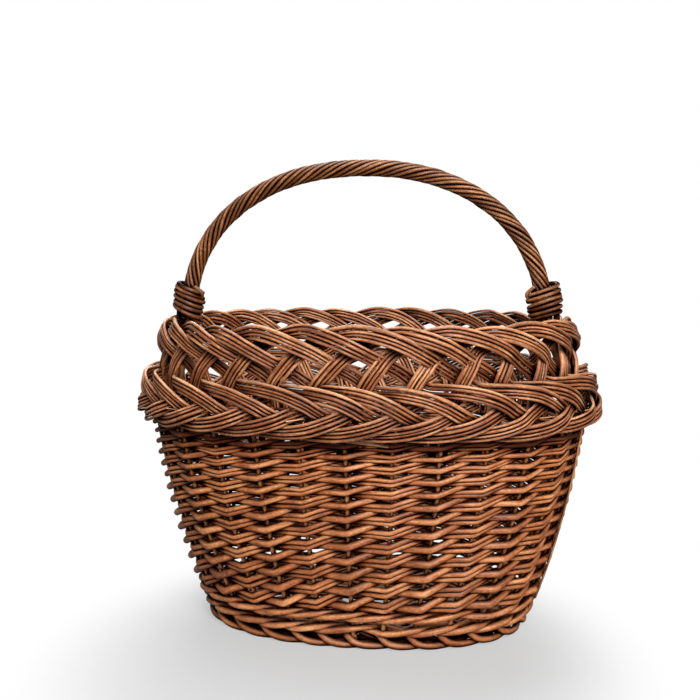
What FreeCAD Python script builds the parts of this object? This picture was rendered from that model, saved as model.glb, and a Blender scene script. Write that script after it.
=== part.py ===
import FreeCAD, Part
import math
import os

# Oval market basket in peeled and stained willow, in millimetres.
# +Z is up, the origin is the middle of the oval foot on the floor, the handle runs along X
# and the front of the basket faces -Y.
#
# A "place" counts stakes round the basket: place 0 is the middle of the front, place 7 the
# +X end, place 14 the middle of the back and place 21 the -X end.
# "Proud" is the distance outwards from the wall surface that the stakes stand in.

# driving dimensions
STAKES = 28
QUARTER = STAKES // 4
FOOT_LEVEL = 10.0
WEAVE_TOP = 207.0
RIM_LEVEL = 302.0
FOOT_HALF_LENGTH = 156.5
FOOT_HALF_WIDTH = 93.5
WEAVE_HALF_LENGTH = 212.5
WEAVE_HALF_WIDTH = 139.5
RIM_HALF_LENGTH = 199.0
RIM_HALF_WIDTH = 149.0
FOOT_SQUARENESS = 2.30
RIM_SQUARENESS = 2.20
WALL_BULGE = 5.4

# rods of the wall
STAKE_RADIUS = 2.1
STAKE_SPACING = 42.0
STAKE_LEVELS = (4.0, 20.0, 60.0, 105.0, 150.0, 190.0, 213.0)
WEAVE_ROUNDS = 13
FIRST_ROUND_LEVEL = 46.5
FIRST_PITCH = 16.0
LAST_PITCH = 9.6
THICK_SHARE = 0.205
THIN_SHARE = 0.148
CLIMB_POWER = 2.2
WALE_RADIUS = 3.0
WALE_CLIMB = 2.4
WALE_END_GAP = 0.015
WALE_LEVELS = {"upsett_wale_lower": 19.0, "upsett_wale_upper": 33.0}

# foot: how one foot rod travels: (places past its stake, height over its lowest, proud)
FOOT_ROD_RADIUS = 3.6
FOOT_WEAR = 0.5
FOOT_PATH = [
    (-0.14, 10.0, 1.0), (-0.04, 7.4, 2.8), (0.10, 4.0, 4.4), (0.34, 1.5, 5.0),
    (0.65, 0.4, 4.6), (1.00, 0.0, 2.6), (1.42, 0.0, -0.8), (1.85, 0.0, -4.5),
]

# border of the basket: lattice, rim and braid, all worked from the same groups of rods
BORDER_RADII = (2.0, 1.55, 1.55, 1.5)
BORDER_OVERLAP = 0.05
BORDER_LEAN = 0.45
BORDER_LEAN_HEIGHT = 14.0
PARTING_LOW = 205.0
PARTING_HIGH = 225.0
STEEPEST_PLACE = 5
STEEPEST_SHIFT = 0.6
STEEP_REACH = 4.0

# base
BASE_LEVEL = 10.0
BASE_STICK_RADIUS = 2.7
BASE_ROD_RADIUS = 2.0
BASE_RINGS = 13
BASE_RING_START = 0.6
BASE_RING_END_GAP = 0.12
CROSS_STICKS = 9
LONG_STICKS = 5
LONG_STICK_SPACING = 6.0
CORE_HALF_LENGTH = 92.0
CORE_HALF_WIDTH = 13.4
CORE_FAN = 1.1
CORE_END_GAP = 10.0

# handle
HANDLE_HALF_SPAN = 179.5
HANDLE_SHIFT = -5.0
HANDLE_FOOT = 300.0
HANDLE_TOP = 449.2
HANDLE_SQUARENESS = 2.17
BOW_RADIUS = 4.6
BOW_CLEARANCE = 4.0
TAIL_LEVELS = (150.0, 180.0, 212.0, 245.0)
TAIL_TOP = 282.0
TAIL_TOP_SPAN = 185.0
ROPE_RODS = 10
ROPE_ROD_RADIUS = 1.85
ROPE_TURNS = 5.2
BINDING_BOTTOM = 307.5
BINDING_TOP = 334.5
BINDING_SLACK_ACROSS = 1.2
BINDING_SWELL = 1.4
BINDING_SPLAY = 2.0
# by side: turns, radius, slack along the basket, tilt
BINDINGS = {1: (7, 1.88, 4.2, 0.24), -1: (6, 2.18, 1.6, 0.38)}
PEG_RADIUS = 2.0
PEG_SHIFT = 0.22
PEG_LEVELS = (160.0, 190.0, 225.0, 260.0, 286.0)
OVERLAY_RADIUS = 1.15
OVERLAY_PATH = [
    (5.88, 212.0, 8.5), (5.94, 180.0, 8.2), (6.04, 130.0, 8.6),
    (6.14, 80.0, 9.4), (6.23, 34.0, 9.6),
]

# How one border group travels: (places past its stake, height, proud). It starts inside the
# weave, leans across the lattice, arches over the rim from inside to outside, goes back in
# under the rim, comes out over the weave and turns twice round its neighbours as the braid.
BORDER_PATH = [
    (0.00, 188.0, -6.5), (0.00, 197.0, -5.5), (0.03, 206.0, -2.5), (0.14, 220.0, -1.0),
    (0.30, 236.0, -1.0), (0.50, 251.5, 0.5), (0.75, 265.0, 1.0), (1.05, 278.0, -2.0),
    (1.40, 287.5, -4.5), (1.77, 294.0, -4.5), (2.20, 297.5, -1.0), (2.60, 295.0, 3.5),
    (3.00, 289.0, 5.5), (3.35, 281.5, 5.0), (3.63, 274.5, 1.0), (3.89, 268.0, -4.0),
    (4.20, 260.5, -5.5), (4.45, 253.0, -4.5), (4.67, 248.8, 1.0), (4.93, 248.6, 8.0),
    (5.31, 248.2, 14.0), (5.75, 244.5, 17.0), (6.13, 237.5, 17.0), (6.47, 228.5, 14.0),
    (6.79, 220.0, 10.5), (7.13, 214.6, 9.0), (7.50, 212.8, 11.0), (7.90, 213.6, 15.0),
    (8.30, 217.2, 18.5), (8.65, 222.2, 18.6), (8.98, 227.8, 13.6), (9.27, 233.0, 10.4),
    (9.55, 238.0, 8.0),
]
UPRIGHT_START = 0.03
UPRIGHT_END = 1.05
ARCH_START = 1.5
ARCH_END = 3.4

# A rod's skin is a cubic spline surface with six poles round it, and each ring of poles
# stands this much further out than the skin.
RING_POLES = 6
RING_TURNS = [2 * math.pi * number / RING_POLES for number in range(RING_POLES)]
POLE_REACH = 3.0 / (2.0 + math.cos(2 * math.pi / RING_POLES))


def vector(x, y, z):
    return FreeCAD.Vector(x, y, z)


def blend(low, high, share):
    return low + (high - low) * share


def oval_radius(angle, half_length, half_width, squareness):
    along = abs(math.cos(angle)) / half_length
    across = abs(math.sin(angle)) / half_width
    return (along ** squareness + across ** squareness) ** (-1.0 / squareness)


def wall_outline(height):
    """Half length, half width and squareness of the stakes' surface at a height."""
    if height <= WEAVE_TOP:
        share = (height - FOOT_LEVEL) / (WEAVE_TOP - FOOT_LEVEL)
        bulge = 4.0 * share * (1.0 - share) * WALL_BULGE if share > 0.0 else 0.0
        half_length = blend(FOOT_HALF_LENGTH, WEAVE_HALF_LENGTH, share) + bulge
        half_width = blend(FOOT_HALF_WIDTH, WEAVE_HALF_WIDTH, share) + bulge
    else:
        share = (height - WEAVE_TOP) / (RIM_LEVEL - WEAVE_TOP)
        half_length = blend(WEAVE_HALF_LENGTH, RIM_HALF_LENGTH, share)
        half_width = blend(WEAVE_HALF_WIDTH, RIM_HALF_WIDTH, share)
    squareness = blend(FOOT_SQUARENESS, RIM_SQUARENESS, max(0.0, height) / RIM_LEVEL)
    return half_length, half_width, squareness


def even_angles():
    """Angles that part the wall at mid-height into equal lengths, one for each stake."""
    outline = wall_outline((FOOT_LEVEL + WEAVE_TOP) / 2)
    steps = 1440
    lengths = [0.0]
    last = None
    for step in range(steps + 1):
        angle = -math.pi / 2 + 2 * math.pi * step / steps
        radius = oval_radius(angle, *outline)
        point = (radius * math.cos(angle), radius * math.sin(angle))
        if last is not None:
            lengths.append(lengths[-1] + math.dist(point, last))
        last = point
    angles = []
    step = 0
    for stake in range(STAKES):
        wanted = lengths[-1] * stake / STAKES
        while lengths[step + 1] < wanted:
            step += 1
        part = (wanted - lengths[step]) / (lengths[step + 1] - lengths[step])
        angles.append(-math.pi / 2 + 2 * math.pi * (step + part) / steps)
    return angles


STAKE_ANGLES = even_angles()


def place_angle(place):
    """Polar angle of any place, smooth between the stakes."""
    stake = math.floor(place)
    part = place - stake
    turns, index = divmod(stake, STAKES)
    low = STAKE_ANGLES[index] + 2 * math.pi * turns
    turns, index = divmod(stake + 1, STAKES)
    high = STAKE_ANGLES[index] + 2 * math.pi * turns
    return blend(low, high, part)


def wall_point(place, height, proud):
    angle = place_angle(place)
    half_length, half_width, squareness = wall_outline(height)
    radius = oval_radius(angle, half_length, half_width, squareness)
    x = radius * math.cos(angle)
    y = radius * math.sin(angle)
    nx = math.copysign((abs(x) / half_length) ** (squareness - 1) / half_length, x)
    ny = math.copysign((abs(y) / half_width) ** (squareness - 1) / half_width, y)
    size = math.hypot(nx, ny)
    return vector(x + proud * nx / size, y + proud * ny / size, height)


def crossways(tangent, guide):
    """The guide direction turned square to a tangent, and the direction square to both."""
    across = (guide - tangent * guide.dot(tangent)).normalize()
    return across, tangent.cross(across)


def rod(points, radius, tip_radius=None):
    """A round rod along a smooth line through the points, tapering evenly to its tip."""
    tip_radius = tip_radius or radius
    line = Part.BSplineCurve()
    line.interpolate(points)
    degree = line.Degree
    knots = line.getKnots()
    counts = line.getMultiplicities()
    spread = [knot for knot, count in zip(knots, counts) for _ in range(count)]
    middles = line.getPoles()
    guide = vector(0.3, 0.4, 0.866)
    rings = []
    for index, middle in enumerate(middles):
        share = index / (len(middles) - 1)
        at = sum(spread[index + 1:index + 1 + degree]) / degree
        across, upward = crossways(line.tangent(at)[0], guide)
        guide = across
        reach = blend(radius, tip_radius, share) * POLE_REACH
        rings.append([
            middle + across * (reach * math.cos(turn)) + upward * (reach * math.sin(turn))
            for turn in RING_TURNS
        ])
    skin = Part.BSplineSurface()
    ring_knots = list(range(RING_POLES + 1))
    skin.buildFromPolesMultsKnots(
        rings, counts, [1] * len(ring_knots), knots, ring_knots, False, True, degree, 3
    )
    side = skin.toShape()
    ends = [edge for edge in side.Edges if not edge.isSeam(side)]
    surface = Part.Compound([side] + [Part.Face(Part.Wire([edge])) for edge in ends])
    surface.sewShape()
    return Part.Solid(surface.Shells[0])


def save(node, solids):
    shape = solids[0] if len(solids) == 1 else Part.makeCompound(solids)
    shape.exportStep("parts/" + node + ".step")


def side_stakes():
    """One upright rod at each place, from the foot to the top of the weave."""
    return [
        rod([wall_point(place, level, 0.0) for level in STAKE_LEVELS], STAKE_RADIUS)
        for place in range(STAKES)
    ]


def round_level(number):
    """Height of a weave round where its rods pass outside a stake, and its pitch."""
    fall = (FIRST_PITCH - LAST_PITCH) / (WEAVE_ROUNDS - 2)
    level = FIRST_ROUND_LEVEL + number * FIRST_PITCH - fall * number * (number - 1) / 2
    return level, FIRST_PITCH - fall * min(number, WEAVE_ROUNDS - 2)


def weaver_height(past):
    """Height of a weaver: up steeply as it goes in behind a stake, nearly level as it comes out."""
    number = math.floor(past / 2.0)
    level, pitch = round_level(number)
    left = 1.0 - (past / 2.0 - number)
    return level + pitch * (1.0 - left ** CLIMB_POWER)


def weaver(first, share, shift):
    """A rod woven in front of every second stake from its first, climbing to the top of the weave.

    Its radius and its shift upwards are shares of the pitch, so it thins as the rounds close up.
    """
    points = []
    for step in range(-3, 8 * WEAVE_ROUNDS - 4):
        past = step / 4
        pitch = round_level(past / 2)[1]
        reach = STAKE_RADIUS + share * pitch
        height = weaver_height(past) + shift * pitch
        points.append(wall_point(first + past, height, reach * math.cos(math.pi * past)))
    return rod(points, share * FIRST_PITCH, share * LAST_PITCH)


def weaver_set(number):
    """A thick rod that starts at an even stake and a thin pair that starts at the next one."""
    even = 2 * number
    return [
        weaver(even, THICK_SHARE, 0.0),
        weaver(even + 1, THIN_SHARE, -THIN_SHARE),
        weaver(even + 1, THIN_SHARE, THIN_SHARE),
    ]


def wale_proud(wave):
    """Share of the reach outwards: -1 behind a stake, about 0.9 before each of the next two."""
    return 0.41 + 1.125 * wave - 0.28 * wave * wave


def wale(level, first):
    """Three thick rods, each in front of two stakes and behind the third, turn by turn."""
    strokes = (STAKES - 1) // 3
    steps = 12 * strokes
    reach = STAKE_RADIUS + WALE_RADIUS
    rods = []
    for number in range(3):
        points = []
        for step in range(steps + 1):
            turn = 3.0 * blend(WALE_END_GAP, strokes - WALE_END_GAP, step / steps)
            angle = 2 * math.pi * turn / 3.0
            proud = reach * wale_proud(-math.cos(angle))
            height = level - WALE_CLIMB * math.sin(angle)
            points.append(wall_point(first + number + turn, height, proud))
        rods.append(rod(points, WALE_RADIUS))
    return rods


def foot_rod(place):
    """A short curved rod: its butt stands by a stake, and it runs down along the floor."""
    low = FOOT_ROD_RADIUS - FOOT_WEAR
    points = [wall_point(place + step, low + height, proud) for step, height, proud in FOOT_PATH]
    return rod(points, FOOT_ROD_RADIUS)


def foot_border():
    """The ring of foot rods, each worn flat where it stands on the floor."""
    reach = WEAVE_HALF_LENGTH
    floor = Part.makeBox(2 * reach, 2 * reach, reach, vector(-reach, -reach, -reach))
    return [foot_rod(place).cut(floor).Solids[0] for place in range(STAKES)]


def ramp(value, low, high):
    return max(0.0, min(1.0, (value - low) / (high - low)))


def border_run(place):
    """Middle line of one border group. The groups stand steepest near the front of the +X end."""
    shift = STEEPEST_SHIFT * math.exp(-((place - STEEPEST_PLACE) / STEEP_REACH) ** 2)
    run = []
    for past, height, proud in BORDER_PATH:
        steep = ramp(past, UPRIGHT_START, UPRIGHT_END) * ramp(past, ARCH_END, ARCH_START)
        run.append((past - shift * steep, height, proud))
    return run


def border_rod(place, beside, radius, run):
    """One rod of a border group, kept at its own distance beside the group's middle line."""
    points = []
    for index, (past, height, proud) in enumerate(run):
        before = run[max(index - 1, 0)]
        after = run[min(index + 1, len(run) - 1)]
        along = (after[0] - before[0]) * STAKE_SPACING
        rise = after[1] - before[1]
        size = math.hypot(along, rise)
        parting = STAKE_RADIUS * ramp(height, PARTING_HIGH, PARTING_LOW) if past < 1.0 else 0.0
        side = beside + math.copysign(parting, beside)
        shift = -side * rise / size / STAKE_SPACING
        lift = side * along / size
        lean = BORDER_LEAN * side * math.exp(-((height - RIM_LEVEL) / BORDER_LEAN_HEIGHT) ** 2)
        points.append(wall_point(place + past + shift, height + lift, proud - lean))
    return rod(points, radius)


def border_strand(place):
    """A thick rod and three thin ones side by side, from beside a stake to the braid."""
    run = border_run(place)
    width = 2 * sum(BORDER_RADII) - BORDER_OVERLAP * (len(BORDER_RADII) - 1)
    edge = -width / 2
    rods = []
    for radius in BORDER_RADII:
        rods.append(border_rod(place, edge + radius, radius, run))
        edge += 2 * radius - BORDER_OVERLAP
    return rods


def handle_line(share):
    """Point on the handle's middle line and its direction, from the +X foot to the -X foot."""
    def point(at):
        angle = math.pi * at
        power = 2.0 / HANDLE_SQUARENESS
        x = HANDLE_HALF_SPAN * math.copysign(abs(math.cos(angle)) ** power, math.cos(angle))
        z = HANDLE_FOOT + (HANDLE_TOP - HANDLE_FOOT) * math.sin(angle) ** power
        return vector(HANDLE_SHIFT + x, 0.0, z)
    share = min(max(share, 0.002), 0.998)
    tangent = point(min(share + 0.002, 1.0)) - point(max(share - 0.002, 0.0))
    return point(share), tangent.normalize()


def bow_tail(side):
    """The bow below the rim: inside the border, then down beside the end stake."""
    place = QUARTER if side > 0 else 3 * QUARTER
    inset = STAKE_RADIUS + BOW_RADIUS + BOW_CLEARANCE
    tail = [wall_point(place, level, -inset) for level in TAIL_LEVELS]
    return tail + [vector(side * TAIL_TOP_SPAN + HANDLE_SHIFT / 2, 0.0, TAIL_TOP)]


def even_shares(count):
    """Shares along the handle that are evenly spaced by length."""
    fine = 400
    lengths = [0.0]
    for step in range(fine):
        gap = handle_line((step + 1) / fine)[0].distanceToPoint(handle_line(step / fine)[0])
        lengths.append(lengths[-1] + gap)
    shares = []
    step = 0
    for number in range(count + 1):
        wanted = lengths[-1] * number / count
        while step < fine - 1 and lengths[step + 1] < wanted:
            step += 1
        part = (wanted - lengths[step]) / (lengths[step + 1] - lengths[step])
        shares.append((step + part) / fine)
    return shares


def handle_bow():
    arch = [handle_line(share)[0] for share in even_shares(20)]
    return [rod(bow_tail(1) + arch + bow_tail(-1)[::-1], BOW_RADIUS)]


def handle_rope_rods():
    """Thin rods laid round the bow like the strands of a rope."""
    reach = BOW_RADIUS + ROPE_ROD_RADIUS
    steps = 64
    shares = even_shares(steps)
    rods = []
    for number in range(ROPE_RODS):
        points = []
        for index, share in enumerate(shares):
            middle, tangent = handle_line(share)
            turn = 2 * math.pi * (number / ROPE_RODS - ROPE_TURNS * index / steps)
            across = vector(0.0, 1.0, 0.0)
            upward = tangent.cross(across)
            points.append(middle + across * (reach * math.cos(turn)) + upward * (reach * math.sin(turn)))
        rods.append(rod(points, ROPE_ROD_RADIUS))
    return rods


def handle_binding(side):
    """A rod wound in tilted, crowded coils round the foot of the handle and the rods beside it."""
    turns, radius, slack, slope = BINDINGS[side]
    reach = BOW_RADIUS + 2 * ROPE_ROD_RADIUS + radius
    steps = 12 * turns
    points = []
    for step in range(steps + 1):
        share = step / steps
        turn = 2 * math.pi * turns * share
        swell = BINDING_SWELL * math.sin(math.pi * share)
        wide = reach + slack + swell
        deep = reach + BINDING_SLACK_ACROSS + swell
        tilt = slope * wide * math.cos(turn)
        middle = HANDLE_HALF_SPAN + blend(BINDING_SPLAY, -BINDING_SPLAY, share)
        x = HANDLE_SHIFT + side * (middle + wide * math.cos(turn))
        height = blend(BINDING_BOTTOM, BINDING_TOP, share) + tilt
        points.append(vector(x, deep * math.sin(turn), height))
    return [rod(points, radius)]


def handle_pegs():
    """Rods that lock the handle, two beside each end of the bow, and a thin one over the right side."""
    inset = STAKE_RADIUS + BOW_RADIUS + PEG_RADIUS
    rods = []
    for end in (QUARTER, 3 * QUARTER):
        for place in (end - PEG_SHIFT, end + PEG_SHIFT):
            rods.append(rod([wall_point(place, level, -inset) for level in PEG_LEVELS], PEG_RADIUS))
    rods.append(rod([wall_point(*station) for station in OVERLAY_PATH], OVERLAY_RADIUS))
    return rods


def base_stick_end(place):
    return wall_point(place, BASE_LEVEL, -STAKE_RADIUS)


def cross_sticks():
    """Short sticks across the base, from each front stake to the back stake opposite."""
    half = CROSS_STICKS // 2
    sticks = []
    for place in range(-half, half + 1):
        front = base_stick_end(place)
        back = base_stick_end(2 * QUARTER - place)
        sticks.append(rod([front, (front + back) * 0.5, back], BASE_STICK_RADIUS))
    return sticks


def long_stick_core(number, side):
    """Where a long stick leaves the bundle in the middle of the base."""
    across = (number - (LONG_STICKS - 1) / 2) * LONG_STICK_SPACING
    return vector(side * CORE_HALF_LENGTH, across, BASE_LEVEL + 2 * BASE_STICK_RADIUS)


def long_sticks():
    """Long sticks that lie over the cross sticks and fan out to the stakes at both ends."""
    half = LONG_STICKS // 2
    sticks = []
    for number in range(LONG_STICKS):
        right_end = base_stick_end(QUARTER + number - half)
        left_end = base_stick_end(3 * QUARTER - number + half)
        right = long_stick_core(number, 1)
        left = long_stick_core(number, -1)
        points = [left_end, left, (left + right) * 0.5, right, right_end]
        sticks.append(rod(points, BASE_STICK_RADIUS))
    return sticks


def base_station(place):
    """Inner and outer points that the base rings run between, at one stake."""
    outer = base_stick_end(place)
    near = (place + QUARTER) % (2 * QUARTER) - QUARTER
    if abs(near) <= CROSS_STICKS // 2:
        inner = vector(outer.x, math.copysign(CORE_HALF_WIDTH, outer.y), BASE_LEVEL)
    else:
        side = math.copysign(1.0, outer.x)
        number = place - QUARTER if side > 0 else 3 * QUARTER - place
        across = number * LONG_STICK_SPACING * CORE_FAN
        inner = vector(side * (CORE_HALF_LENGTH + CORE_END_GAP - abs(number)), across, BASE_LEVEL)
    return inner, outer


def base_ring(number):
    """One rod woven over and under the stick ends round the base."""
    share = (number + BASE_RING_START) / BASE_RINGS
    reach = BASE_STICK_RADIUS + BASE_ROD_RADIUS
    first = (4 * number) % STAKES
    steps = 2 * STAKES - 1
    points = []
    for step in range(steps + 1):
        place = first + blend(BASE_RING_END_GAP, STAKES - BASE_RING_END_GAP, step / steps)
        low, high = math.floor(place), math.floor(place) + 1
        inner_low, outer_low = base_station(low % STAKES)
        inner_high, outer_high = base_station(high % STAKES)
        a = inner_low + (outer_low - inner_low) * share
        b = inner_high + (outer_high - inner_high) * share
        point = a + (b - a) * (place - low)
        point.z = BASE_LEVEL + reach * math.cos(math.pi * (place + number))
        points.append(point)
    return rod(points, BASE_ROD_RADIUS)


def main():
    os.makedirs("parts", exist_ok=True)
    save("side_stakes", side_stakes())
    save("foot_border", foot_border())
    for number, (node, level) in enumerate(WALE_LEVELS.items()):
        save(node, wale(level, 3 * number))
    for number in range(STAKES // 2):
        save("weaver_set_%02d" % (number + 1), weaver_set(number))
    for place in range(STAKES):
        save("border_strand_%02d" % (place + 1), border_strand(place))
    save("base_cross_sticks", cross_sticks())
    save("base_long_sticks", long_sticks())
    save("base_weave", [base_ring(number) for number in range(BASE_RINGS)])
    save("handle_bow", handle_bow())
    save("handle_rope_rods", handle_rope_rods())
    save("handle_binding_right", handle_binding(1))
    save("handle_binding_left", handle_binding(-1))
    save("handle_pegs", handle_pegs())


main()
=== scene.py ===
"""Woven market basket: a willow rod for every rod of the frame, with its own bend, taper and bark."""

import math

import bpy
import numpy as np
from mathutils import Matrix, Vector


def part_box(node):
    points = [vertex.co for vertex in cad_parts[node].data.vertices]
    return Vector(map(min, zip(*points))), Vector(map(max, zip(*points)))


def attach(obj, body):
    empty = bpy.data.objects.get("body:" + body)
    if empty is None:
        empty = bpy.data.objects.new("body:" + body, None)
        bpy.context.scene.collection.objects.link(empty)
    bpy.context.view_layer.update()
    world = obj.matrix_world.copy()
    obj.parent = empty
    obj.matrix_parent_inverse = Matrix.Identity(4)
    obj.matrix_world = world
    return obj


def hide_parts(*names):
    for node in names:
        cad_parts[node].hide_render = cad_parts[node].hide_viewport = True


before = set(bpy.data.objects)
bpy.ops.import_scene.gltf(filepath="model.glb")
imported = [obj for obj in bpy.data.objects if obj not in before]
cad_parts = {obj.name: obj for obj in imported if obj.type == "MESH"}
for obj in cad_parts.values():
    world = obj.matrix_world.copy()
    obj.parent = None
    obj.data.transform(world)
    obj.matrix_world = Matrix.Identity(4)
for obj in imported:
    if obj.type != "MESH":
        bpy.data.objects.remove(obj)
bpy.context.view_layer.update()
rng = np.random.default_rng(28)

# Lengths are in millimetres until a mesh is made. A "place" counts stakes round the basket:
# 0 is the middle of the front, 7 the +X end, 14 the back and 21 the -X end.
# "Proud" is the distance outwards from the surface that the stakes stand in.
MM = 0.001
STAKES = 28
QUARTER = STAKES // 4
STAKE_SPACING = 42.0
UP = (0, 0, 1)

# Radii of the rods. Those of the weavers are shares of the pitch between rounds.
STAKE_RADIUS = 2.1
THICK_SHARE = 0.236
THIN_SHARE = 0.167
WALE_RADIUS = 3.0
FOOT_ROD_RADIUS = 3.6
BORDER_RADII = (2.0, 1.55, 1.55, 1.5)
BASE_STICK_RADIUS = 2.7
BASE_ROD_RADIUS = 2.0
BOW_RADIUS = 4.6
ROPE_ROD_RADIUS = 1.85
PEG_RADIUS = 2.0
SPLINT_RADIUS = 1.15

# A rod's skin. Its cut ends stand out by a share of its radius and are slimmer by another.
SIDES = 10
END_REACH = 0.3
END_SHARE = 0.72
GRAIN_SPREAD = 4000.0
ANY_GUIDE = (0.31, 0.42, 0.85)

# Painted shade between rods that touch, and its shares on the top and the underside of a lying rod.
CONTACT_SHADE_DEPTH = 1.1
LYING = (0.25 * CONTACT_SHADE_DEPTH, 0.75 * CONTACT_SHADE_DEPTH)

# The wall. Stakes rise past the weave, and the rim's half sizes differ from the weave's top.
FOOT_SQUARENESS = 2.30
RIM_SQUARENESS = 2.20
WALL_BULGE = 5.4
STAKE_RISE = 6.0
RIM_SPREAD = (-13.5, 9.5)
OVAL_SAMPLES = 1441


def box_mm(part):
    low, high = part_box(part)
    return np.array(low) / MM, np.array(high) / MM


def names(prefix):
    return sorted(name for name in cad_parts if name.startswith(prefix))


def joint_box(parts):
    boxes = [box_mm(part) for part in parts]
    return np.min([low for low, high in boxes], 0), np.max([high for low, high in boxes], 0)


# Sizes read from the frame.
STAKES_BOX = box_mm("side_stakes")
BORDER_BOX = joint_box(names("border_strand"))
BASE_BOX = joint_box(["base_cross_sticks", "base_long_sticks"])
CROSS_BOX = box_mm("base_cross_sticks")
ROPE_BOX = box_mm("handle_rope_rods")
WEAVE_BOX = joint_box(names("weaver_set"))
STAKE_TOP = STAKES_BOX[1][2]
WEAVE_TOP = STAKE_TOP - STAKE_RISE
TOP_HALF = STAKES_BOX[1][:2] - STAKE_RADIUS
FOOT_HALF = BASE_BOX[1][:2] + STAKE_RADIUS
FOOT_LEVEL = (CROSS_BOX[0][2] + CROSS_BOX[1][2]) / 2
RIM_TOP = BORDER_BOX[1][2]
RIM_HALF = TOP_HALF + RIM_SPREAD

# Rounds of the weave, whose pitch falls evenly from one to the next. The first one's rise over
# the lowest weaver is in pitches, and the last one's depth under the highest is in millimetres.
WEAVE_ROUNDS = 13
WEAVE_STEPS = WEAVE_ROUNDS - 1
FIRST_PITCH = 16.0
FIRST_ROUND_RISE = 0.3
LAST_ROUND_DEPTH = 10.0
FIRST_ROUND = WEAVE_BOX[0][2] + FIRST_ROUND_RISE * FIRST_PITCH
LAST_ROUND = WEAVE_BOX[1][2] - LAST_ROUND_DEPTH
PITCH_FALLS = WEAVE_STEPS * (WEAVE_STEPS - 1) / 2
PITCH_FALL = (FIRST_ROUND + WEAVE_STEPS * FIRST_PITCH - LAST_ROUND) / PITCH_FALLS


# ---------------------------------------------------------------- surface and curves

def wall_outline(height):
    """Half sizes and squareness of the stakes' surface at each height."""
    height = np.asarray(height, float)
    low = np.clip((height - FOOT_LEVEL) / (WEAVE_TOP - FOOT_LEVEL), -0.1, 1.0)
    high = np.clip((height - WEAVE_TOP) / (RIM_TOP - WEAVE_TOP), 0.0, 1.2)
    bulge = 4.0 * np.clip(low, 0, 1) * (1.0 - low) * WALL_BULGE
    sizes = [
        foot + (top - foot) * low + bulge + (rim - top) * high
        for foot, top, rim in zip(FOOT_HALF, TOP_HALF, RIM_HALF)
    ]
    squareness = FOOT_SQUARENESS + (RIM_SQUARENESS - FOOT_SQUARENESS) * np.clip(height / RIM_TOP, 0, 1)
    return *sizes, squareness


def oval_radius(angle, half_length, half_width, squareness):
    along = np.abs(np.cos(angle)) / half_length
    across = np.abs(np.sin(angle)) / half_width
    return (along ** squareness + across ** squareness) ** (-1.0 / squareness)


def lengths_along(x, y):
    """Length of a flat curve from its first point to each point."""
    return np.concatenate([[0], np.cumsum(np.hypot(np.diff(x), np.diff(y)))])


def even_angles():
    """Angles that part the wall at mid-height into equal lengths, one for each stake."""
    turn = -math.pi / 2 + np.linspace(0, 2 * math.pi, OVAL_SAMPLES)
    radius = oval_radius(turn, *wall_outline((FOOT_LEVEL + WEAVE_TOP) / 2))
    lengths = lengths_along(radius * np.cos(turn), radius * np.sin(turn))
    return np.interp(np.arange(STAKES + 1) * lengths[-1] / STAKES, lengths, turn)


STAKE_ANGLES = even_angles()


def place_angle(place):
    turns = np.floor(np.asarray(place, float) / STAKES)
    return np.interp(place - turns * STAKES, np.arange(STAKES + 1), STAKE_ANGLES) + 2 * math.pi * turns


def wall_points(place, height, proud):
    """Points at places round the wall, set outwards from it and level with the floor."""
    place, height, proud = np.broadcast_arrays(*(np.asarray(v, float) for v in (place, height, proud)))
    angle = place_angle(place)
    half_length, half_width, squareness = wall_outline(height)
    radius = oval_radius(angle, half_length, half_width, squareness)
    x, y = radius * np.cos(angle), radius * np.sin(angle)
    nx = np.sign(x) * (np.abs(x) / half_length) ** (squareness - 1) / half_length
    ny = np.sign(y) * (np.abs(y) / half_width) ** (squareness - 1) / half_width
    size = np.hypot(nx, ny)
    return np.stack([x + proud * (nx / size), y + proud * (ny / size), height], -1)


def smooth_run(points, steps):
    """Catmull-Rom curve through rows of numbers, with a number of steps from row to row."""
    points = np.asarray(points, float)
    ends = np.vstack([2 * points[0] - points[1], points, 2 * points[-1] - points[-2]])
    t = np.arange(steps)[:, None] / steps
    run = []
    for a, b, c, d in zip(ends, ends[1:], ends[2:], ends[3:]):
        run.append(0.5 * (2 * b + (c - a) * t + (2 * a - 5 * b + 4 * c - d) * t ** 2
                          + (3 * b - a - 3 * c + d) * t ** 3))
    return np.vstack(run + [points[-1:]])


def wander(count, step, size):
    """A slow random drift: one value for each of count points, with a bend every few steps."""
    knots = rng.normal(0.0, size, max(4, int(count / step) + 3))
    at = np.linspace(0, len(knots) - 1.001, count)
    low = at.astype(int)
    part = at - low
    part = part * part * (3 - 2 * part)
    return knots[low] * (1 - part) + knots[low + 1] * part


def unit(rows):
    return rows / np.maximum(np.linalg.norm(rows, axis=-1, keepdims=True), 1e-9)


# ---------------------------------------------------------------- rods

def with_ends(rows):
    """Rows with the first and the last one doubled, for the two cut ends of a rod."""
    return np.concatenate([rows[:1], rows, rows[-1:]])


def skin_faces(rows, length):
    """Corners of the faces between rings of points, and each corner's place in the grain."""
    i, j = np.meshgrid(np.arange(rows - 1), np.arange(SIDES), indexing="ij")
    k = (j + 1) % SIDES
    here, above = i * SIDES, (i + 1) * SIDES
    quads = np.stack([here + j, here + k, above + k, above + j], -1)
    around = np.stack([j, j + 1, j + 1, j], -1) / SIDES
    along = length[np.stack([i, i, i + 1, i + 1], -1)]
    return quads.reshape(-1, 4), np.stack([along, around], -1).reshape(-1, 2)


def add_object(name, data):
    made = bpy.data.objects.new(name, data)
    bpy.context.scene.collection.objects.link(made)
    return made


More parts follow.
